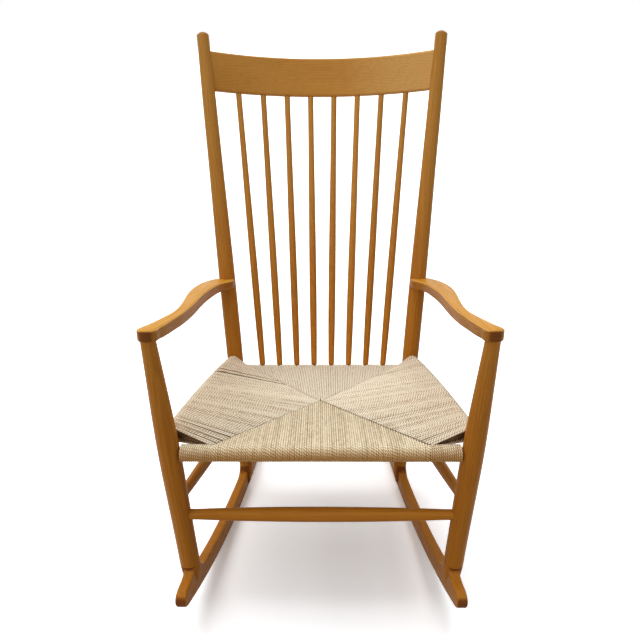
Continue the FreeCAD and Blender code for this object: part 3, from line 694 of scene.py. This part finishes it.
def sweep(strands, name, sides=7, material=seat_cord):
    """Make one mesh of tubes, one for each strand."""
    corners, faces, uvs, tones, wears, shades = [], [], [], [], [], []
    for points, widths, tone, wear, dark_ends, across in strands:
        lengths = [chance.uniform(0, twist_start_most)]
        for last, here in zip(points, points[1:]):
            lengths.append(lengths[-1] + (here - last).length)
        first, rows = len(corners), len(points)
        chord = points[rows // 2] - points[0]
        reference = across or Vector((0, 0, 1)).cross(Vector((chord.x, chord.y, 0))).normalized()
        for number, point in enumerate(points):
            way = (points[min(number + 1, rows - 1)] - points[max(number - 1, 0)]).normalized()
            level = (reference - way * reference.dot(way)).normalized()
            square = way.cross(level)
            for side in range(sides):
                angle = 2 * math.pi * side / sides
                wide = level * (widths[number] * math.cos(angle))
                thick = square * (cord_half * math.sin(angle))
                corners.append(point + wide + thick)
            tones += [tone] * sides
            wears += [wear[number]] * sides
            last_shade = low_end_shade if dark_ends and rows - number < 3 else 0.0
            shades += [dark_ends.get(number, last_shade)] * sides
        for row in range(rows - 1):
            low, high = lengths[row], lengths[row + 1]
            for side in range(sides):
                right = (side + 1) % sides
                base = first + row * sides
                faces.append((base + side, base + right, base + sides + right, base + sides + side))
                near, far = side / sides, (side + 1) / sides
                uvs += [near, low, far, low, far, high, near, high]
        for row, order in ((0, -1), (rows - 1, 1)):
            ring = [first + row * sides + side for side in range(sides)]
            faces.append(tuple(ring[::order]))
            uvs += [0.5, lengths[row]] * sides
    mesh = bpy.data.meshes.new(name)
    mesh.from_pydata([tuple(c) for c in corners], [], faces)
    mesh.uv_layers.new(name="cord").data.foreach_set("uv", uvs)
    for label, values in (("tone", tones), ("wear", wears), ("shade", shades)):
        mesh.attributes.new(label, "FLOAT", "POINT").data.foreach_set("value", values)
    mesh.polygons.foreach_set("use_smooth", [True] * len(mesh.polygons))
    print(name, "strands:", len(strands))
    weave_piece(mesh, material)

# %% [markdown]
# ## The front field
# The strands of the front field lie side by side, 4.2 mm apart. On the right-hand diagonal each
# one hooks over the seam before it dives, as the photograph shows. The roll has darkened from the
# top of the rail downwards, where legs rub it.

# %% Front field
front_gaps = {-1: {0.12: 0.16, 0.19: 0.10}, 1: {}}
front_beyond = 0.0030
front_hook = {-1: 0.0006, 1: 0.0026}
front_tip = {-1: 0.0015, 1: 0.0010}
front_half_width = 0.00222
front_wear = 0.90
# Painted shade at the hooked tips of the front strands.
front_seam = {0: 0.6, 1: 0.0}
rub_angle = 1.3


def rubbed(angles, strength):
    """Wear along a strand: none on the seat's top, most on the front and under the roll."""
    return [strength * held((rub_angle - angle) / rub_angle) for angle in angles]


front_strands = []
for side in (-1, 1):
    for share in places(front_gaps[side], 0.04):
        inner = lerp(centre, mirrored(front_corner, side), share)
        under = lerp(centre - Vector((0, 0, centre_depth)), lower(front_corner, front_roll), share)
        inner.z -= cord_half * 0.6
        under = Vector((inner.x, under.y, under.z + cord_half))
        across_rail = side * front_corner.x * share + jitter(0.0002)
        axis_point = Vector((across_rail, front_rail_end.y, front_rail_end.z))
        points, angles = over_roll(inner, under, axis_point, front_roll - cord_half)
        points, angles = dive(points, angles, front_beyond, front_hook[side])
        widths = [front_tip[side], 0.0016, 0.00208, 0.00208]
        widths += [front_half_width] * (len(points) - 4)
        tone = 0.4 + 0.6 * chance.random()
        front_strands.append(strand(points, widths, tone, rubbed(angles, front_wear), front_seam))
sweep(front_strands, "front_field", material=yellowed_cord)

# %% [markdown]
# ## The rear field
# The spindles stand in the rear rail, so the strands there are pressed together between them.
# Near the rail each strand's place across is squeezed towards the middle of its gap, over the
# last centimetre only. Two strands part at the centre of the seat and leave the small dark slit.

# %% Rear field
spindle_pitch = 0.0431
outer_spindle = 3.5 * spindle_pitch
spindle_room = 0.0082
post_face = 0.1965
squeeze = 0.68
slit_half = 0.0013
rear_half_width, pressed_by = 0.0019, 0.0005
seam_length, roll_length = 0.016, 0.008
free_below = 1.2
rear_wear = 0.20
# Painted shade at the ends of the rear strands.
rear_seam = {0: 0.7, 1: 0.45, 2: 0.10}


def squeezed(x):
    """A strand's place across on the rear rail, pushed clear of the spindles."""
    side, across_seat = math.copysign(1, x), abs(x)
    if across_seat > outer_spindle:
        free = post_face - outer_spindle
        beyond = (across_seat - outer_spindle) * (free - spindle_room) / free
        return side * (outer_spindle + spindle_room + beyond)
    middle = round(across_seat / spindle_pitch) * spindle_pitch
    return side * (middle + (across_seat - middle) * squeeze)


rear_strands = []
for side in (-1, 1):
    for number, share in enumerate(places({}, 0.04)):
        inner = lerp(centre, mirrored(rear_corner, side), share)
        under = lerp(centre - Vector((0, 0, centre_depth)), lower(rear_corner, rear_roll), share)
        inner.z -= cord_half
        plain_x = side * rear_corner.x * share
        under = Vector((inner.x, under.y, under.z + cord_half))
        axis_point = Vector((plain_x, rear_rail_end.y, rear_rail_end.z))
        points, angles = over_roll(inner, under, axis_point, rear_roll - cord_half)
        reach = (points[1] - inner).length
        off_seam = lerp(inner, points[1], min(0.3, seam_length / reach))
        before_roll = lerp(points[1], inner, min(0.6, roll_length / reach))
        points[1:1] = [off_seam, before_roll]
        angles[1:1] = [angles[0]] * 2
        if number == 0:
            points[0].x += side * slit_half
        shift = squeezed(plain_x) - plain_x
        widths = [rear_half_width] * 3
        for place in range(3, len(points) - 1):
            hold = held((angles[place] + free_below) / free_below)
            points[place].x += shift * hold
            widths.append(rear_half_width - pressed_by * hold)
        points, angles = dive(points, angles)
        widths = [rear_half_width] * 2 + widths + [rear_half_width] * 3
        # A low tone keeps the rear strands paler: painted light on the rear field.
        tone = 0.25 * chance.random()
        rear_strands.append(strand(points, widths, tone, rubbed(angles, rear_wear), rear_seam))
sweep(rear_strands, "rear_field")

# %% [markdown]
# ## The side fields
# The side rails slope down to the back and swell in the middle, and the strands there are a
# little further apart, so some part and show dark lines, mostly on the left. The gaps are set by
# how far along the corner they lie in the photograph.

# %% Side fields
side_gaps = {
    -1: (
        {0.98: 0.30, 0.94: 0.30, 0.90: 0.45, 0.84: 0.50, 0.79: 0.30, 0.63: 0.20},
        {0.14: 0.3, 0.33: 0.5, 0.41: 2.1, 0.47: 1.7, 0.56: 0.7},
    ),
    1: ({0.97: 0.15, 0.90: 0.2, 0.53: 0.2, 0.47: 0.32}, {0.62: 0.5}),
}
side_unevenness = 0.11
side_half_width = 0.00218
side_wear = 0.30
outer_tan = {-1: 0.18, 1: 0.14}
seam_steps = ((0.40, 0.0042), (0.55, 0.0066))
# Painted shade at the ends of the side strands, along the seams.
seam_shades = {
    1: {0: 0.95, 1: 0.95, 2: 0.95, 3: 0.80, 4: 0.0},
    -1: {0: 0.95, 1: 0.95, 2: 0.85, 3: 0.25, 4: 0.0},
}
rear_seam_shades = {0: 0.8, 1: 0.75, 2: 0.5, 3: 0.10, 4: 0.0}


def side_strands(side):
    """The strands of the right (1) or left (-1) field, tanned towards their outer edge."""
    strands = []
    middle = mirrored(centre, side)
    for (corner, roll, y_end, _), gaps in zip(corner_rows, side_gaps[side]):
        shades = seam_shades[side] if corner == front_corner else rear_seam_shades
        for share in places(gaps, side_unevenness):
            inner = lerp(middle, corner, share)
            under = lerp(middle - Vector((0, 0, centre_depth)), lower(corner, roll), share)
            under.z += pocket_lift(corner, share)
            axis_point, radius = side_axis(centre.y + (y_end - centre.y) * share + jitter(0.0003))
            inner.z -= cord_half
            under.z += cord_half
            points, angles = over_roll(inner, under, axis_point, radius - cord_half)
            reach = (points[1] - inner).length
            points[1:1] = [
                lerp(inner, points[1], min(most, length / reach)) for most, length in seam_steps
            ]
            angles[1:1] = [angles[0]] * 2
            points, angles = dive(points, angles)
            points = [mirrored(point, side) for point in points]
            tan = [0.0] * 5 + [outer_tan[side]] * (len(points) - 5)
            wear = [max(pair) for pair in zip(tan, rubbed(angles, side_wear))]
            widths = [side_half_width] * len(points)
            strands.append(strand(points, widths, chance.random(), wear, shades))
    return strands


sweep(side_strands(1), "right_field")
sweep(side_strands(-1), "left_field")

# %% [markdown]
# ## Filler wraps
# The front rail is longer than the rear one, so outside the corners of the weave the cord is
# wound round the front rail alone. It is one helix at each end, and a short one fills the rear.

# %% Filler wraps on the rails
steps_per_turn = 16
top_clean = 0.27
filler_rows = (
    (0.2000, 0.2572, front_rail_end, front_roll, 0.0039, front_wear),
    (0.1925, 0.1955, rear_rail_end, rear_roll, 0.0037, rear_wear),
)


def wraps(start_x, end_x, rail_end, roll, pitch, strength):
    """A helix of cord round a rail, from one place across to another, worn away from its top."""
    turns = abs(end_x - start_x) / pitch
    steps = int(turns * steps_per_turn)
    radius = roll - cord_half
    points, wear = [], []
    for step in range(steps + 1):
        angle = 2 * math.pi * turns * step / steps
        x = start_x + (end_x - start_x) * step / steps
        forward, up = radius * math.sin(angle), radius * math.cos(angle)
        points.append(Vector((x, rail_end.y - forward, rail_end.z + up)))
        from_top = min(angle % (2 * math.pi), -angle % (2 * math.pi))
        wear.append(strength * held((from_top - top_clean) / rub_angle))
    widths = [pitch / 2 - 0.00005] * len(points)
    return strand(points, widths, chance.random(), wear, across=Vector((1, 0, 0)))


fillers = []
for side in (-1, 1):
    for start_x, end_x, *winding in filler_rows:
        fillers.append(wraps(side * start_x, side * end_x, *winding))
sweep(fillers, "filler_wraps", material=yellowed_cord)

# %% [markdown]
# ## The hidden middle of the weave
# Between the upper and lower strands lie more crossing strands, seen as brown shade through the
# gaps and in the open pockets at the front corners. Thin strips just inside each face stand for
# the crowd of them, and a tube inside the front roll for the rail's core; both are painted shade.

# %% Inner strips
strip_steps = 14
strip_gap = 2.3 * cord_half
shade_tube_end_x = 0.257
shade_tube_radius = front_roll - 2 * cord_half


def strip_rows(level, side, toward_side, corner_row):
    """Corner pairs of a strip below the upper strands (level 0) or above the lower ones (1)."""
    corner, roll, y_end, rail_end = corner_row
    up = 1 - 2 * level
    middle = centre - Vector((0, 0, centre_depth * level))
    rim = mirrored(lower(corner, roll) if level else corner, side)
    rows = []
    for step in range(strip_steps + 1):
        share = step / strip_steps
        inner = lerp(middle, rim, share)
        if toward_side:
            axis_point, radius = side_axis(centre.y + (y_end - centre.y) * share)
            outer = mirrored(axis_point, side)
            outer.z += up * radius * lift_share
            inner.z += pocket_lift(corner, share) * level
        else:
            outer = Vector((rim.x * share, rail_end.y, rail_end.z + up * roll * lift_share))
        rows.append([point - Vector((0, 0, up * strip_gap)) for point in (inner, outer)])
    return rows


def inner_strips():
    """Strips of painted shade just inside the upper and lower strands, and a tube of it in the front
    roll.
    """
    corners, faces = [], []
    for level in (0, 1):
        for side in (-1, 1):
            for corner_row in corner_rows:
                for toward_side in (True, False):
                    base = len(corners)
                    for row in strip_rows(level, side, toward_side, corner_row):
                        corners += row
                    pocket = level == 1 and toward_side and corner_row[0] == front_corner
                    for step in range(strip_steps - 2 if pocket else strip_steps):
                        first = base + 2 * step
                        faces.append((first, first + 1, first + 3, first + 2))
    base = len(corners)
    for x in (-shade_tube_end_x, shade_tube_end_x):
        for step in range(strip_steps):
            angle = 2 * math.pi * step / strip_steps
            out, up = shade_tube_radius * math.cos(angle), shade_tube_radius * math.sin(angle)
            corners.append(Vector((x, front_rail_end.y + out, front_rail_end.z + up)))
    for step in range(strip_steps):
        near, far = base + step, base + (step + 1) % strip_steps
        faces.append((near, far, far + strip_steps, near + strip_steps))
    mesh = bpy.data.meshes.new("inner_strips")
    mesh.from_pydata([tuple(c) for c in corners], [], faces)
    return mesh


shade = bpy.data.materials.new("cord_in_shade")
shade.use_nodes = True
tree = shade.node_tree
shader = tree.nodes["Principled BSDF"]
place = node(tree, "ShaderNodeTexCoord")
fibre = noise(tree, place.outputs["Object"], (1, 1, 1), 300, 3)
# Painted shade: dark browns for the hidden strands and the tube.
shade_colour = mixed(tree, fibre, (0.075, 0.037, 0.017, 1), (0.16, 0.085, 0.038, 1))
tree.links.new(shade_colour, shader.inputs["Base Color"])
tree.links.new(spread(tree, fibre, 0.3, 0.7, 0.80, 0.95), shader.inputs["Roughness"])
weave_piece(inner_strips(), shade)

# %% [markdown]
# ## Strands in the open pockets
# Under each front corner the weave is open. Five strands of the cord in painted shade cross the
# opening, one below the other, from the front rail's roll to the side rail's.

# %% Strands across the front pockets
pocket_count = 5
pocket_half_width = 0.0019
first_level, level_step = 0.12, 0.04
from_corner = Vector((-0.003, 0.012, 0))
pocket_wear = 0.2
crossing = []
for side in (-1, 1):
    for number in range(pocket_count):
        level = first_level + level_step * number
        near = lerp(front_corner, lower(front_corner, front_roll), level)
        near += from_corner
        axis_point, radius = side_axis(side_front_y + 0.004 + 0.002 * number)
        drop = radius * (0.35 - 0.35 * number)
        far = axis_point + Vector((-radius * 0.8, 0, drop))
        points = []
        for share in (0, 0.33, 0.66, 1):
            points.append(mirrored(lerp(near, far, share) + Vector((0, 0, jitter(0.0005))), side))
        widths = [pocket_half_width] * 4
        crossing.append(strand(points, widths, chance.random(), [pocket_wear] * 4))
sweep(crossing, "pocket_strands", 6, shaded_cord)

# %% [markdown]
# ## Floor
# The photograph is cut out on white, with only a soft grey shadow under the chair. A wide plane
# takes that shadow. To the camera it is partly lit from within, so that it stays white wherever
# no shadow falls.

# %% Floor
def seen_directly(tree):
    """1 for rays that show a thing to the camera, and 0 for rays that carry its light to others."""
    ray = node(tree, "ShaderNodeLightPath")
    straight = maths(tree, "MAXIMUM", ray.outputs["Is Camera Ray"], ray.outputs["Is Transmission Ray"])
    return maths(tree, "MAXIMUM", straight, ray.outputs["Is Glossy Ray"])


floor_size = 60

bpy.ops.object.select_all(action="DESELECT")
bpy.ops.mesh.primitive_plane_add(size=floor_size, location=(0, 0, 0))
floor = bpy.context.object
floor.name = "floor"
floor_look = bpy.data.materials.new("studio_floor")
floor_look.use_nodes = True
tree = floor_look.node_tree
tree.nodes.clear()
matt = node(tree, "ShaderNodeBsdfDiffuse", {"Color": (0.965, 0.98, 1.0, 1)})
glow = node(tree, "ShaderNodeEmission", {"Color": (1, 1, 1, 1), "Strength": 0.13})
brighter = node(tree, "ShaderNodeBsdfDiffuse", {"Color": (0.54, 0.55, 0.56, 1)})
lifted = node(tree, "ShaderNodeAddShader", {0: matt.outputs[0], 1: glow.outputs[0]})
lifted = node(tree, "ShaderNodeAddShader", {0: lifted.outputs[0], 1: brighter.outputs[0]})
plain = node(tree, "ShaderNodeBsdfDiffuse", {"Color": (0.30, 0.30, 0.30, 1)})
choice = node(
    tree, "ShaderNodeMixShader", {0: seen_directly(tree), 1: plain.outputs[0], 2: lifted.outputs[0]}
)
node(tree, "ShaderNodeOutputMaterial", {"Surface": choice.outputs[0]})
floor.data.materials.append(floor_look)
print("floor size:", floor_size)

# %% [markdown]
# ## Sky and suns
# An even sky and two wide suns light the chair softly. The key light stands high and a little
# behind the chair, and the fill light stands lower, in front and to the left. The camera sees the
# sky as plain white.

# %% Sky and suns
sky_strength = 0.34
world = bpy.data.worlds.new("studio")
world.use_nodes = True
bpy.context.scene.world = world
tree = world.node_tree
tree.nodes.clear()
sky = node(tree, "ShaderNodeBackground", {"Color": (1, 1, 1, 1), "Strength": sky_strength})
white = node(tree, "ShaderNodeBackground", {"Color": (1, 1, 1, 1), "Strength": 1.0})
choice = node(
    tree, "ShaderNodeMixShader", {0: seen_directly(tree), 1: sky.outputs[0], 2: white.outputs[0]}
)
node(tree, "ShaderNodeOutputWorld", {"Surface": choice.outputs[0]})


def sun(name, pitch, turn, strength, softness):
    """A wide sun that shines down along a direction given by two angles in degrees."""
    data = bpy.data.lights.new(name, "SUN")
    data.energy = strength
    data.angle = math.radians(softness)
    lamp = bpy.data.objects.new(name, data)
    lamp.rotation_euler = (math.radians(pitch), 0, math.radians(turn))
    bpy.context.scene.collection.objects.link(lamp)
    return lamp


key_light = sun("key_light", -20, 20, 2.20, 64)
fill_light = sun("fill_light", 60, -42, 0.62, 60)
bpy.context.scene.view_settings.view_transform = "Standard"
print("lights:", key_light.name, fill_light.name)
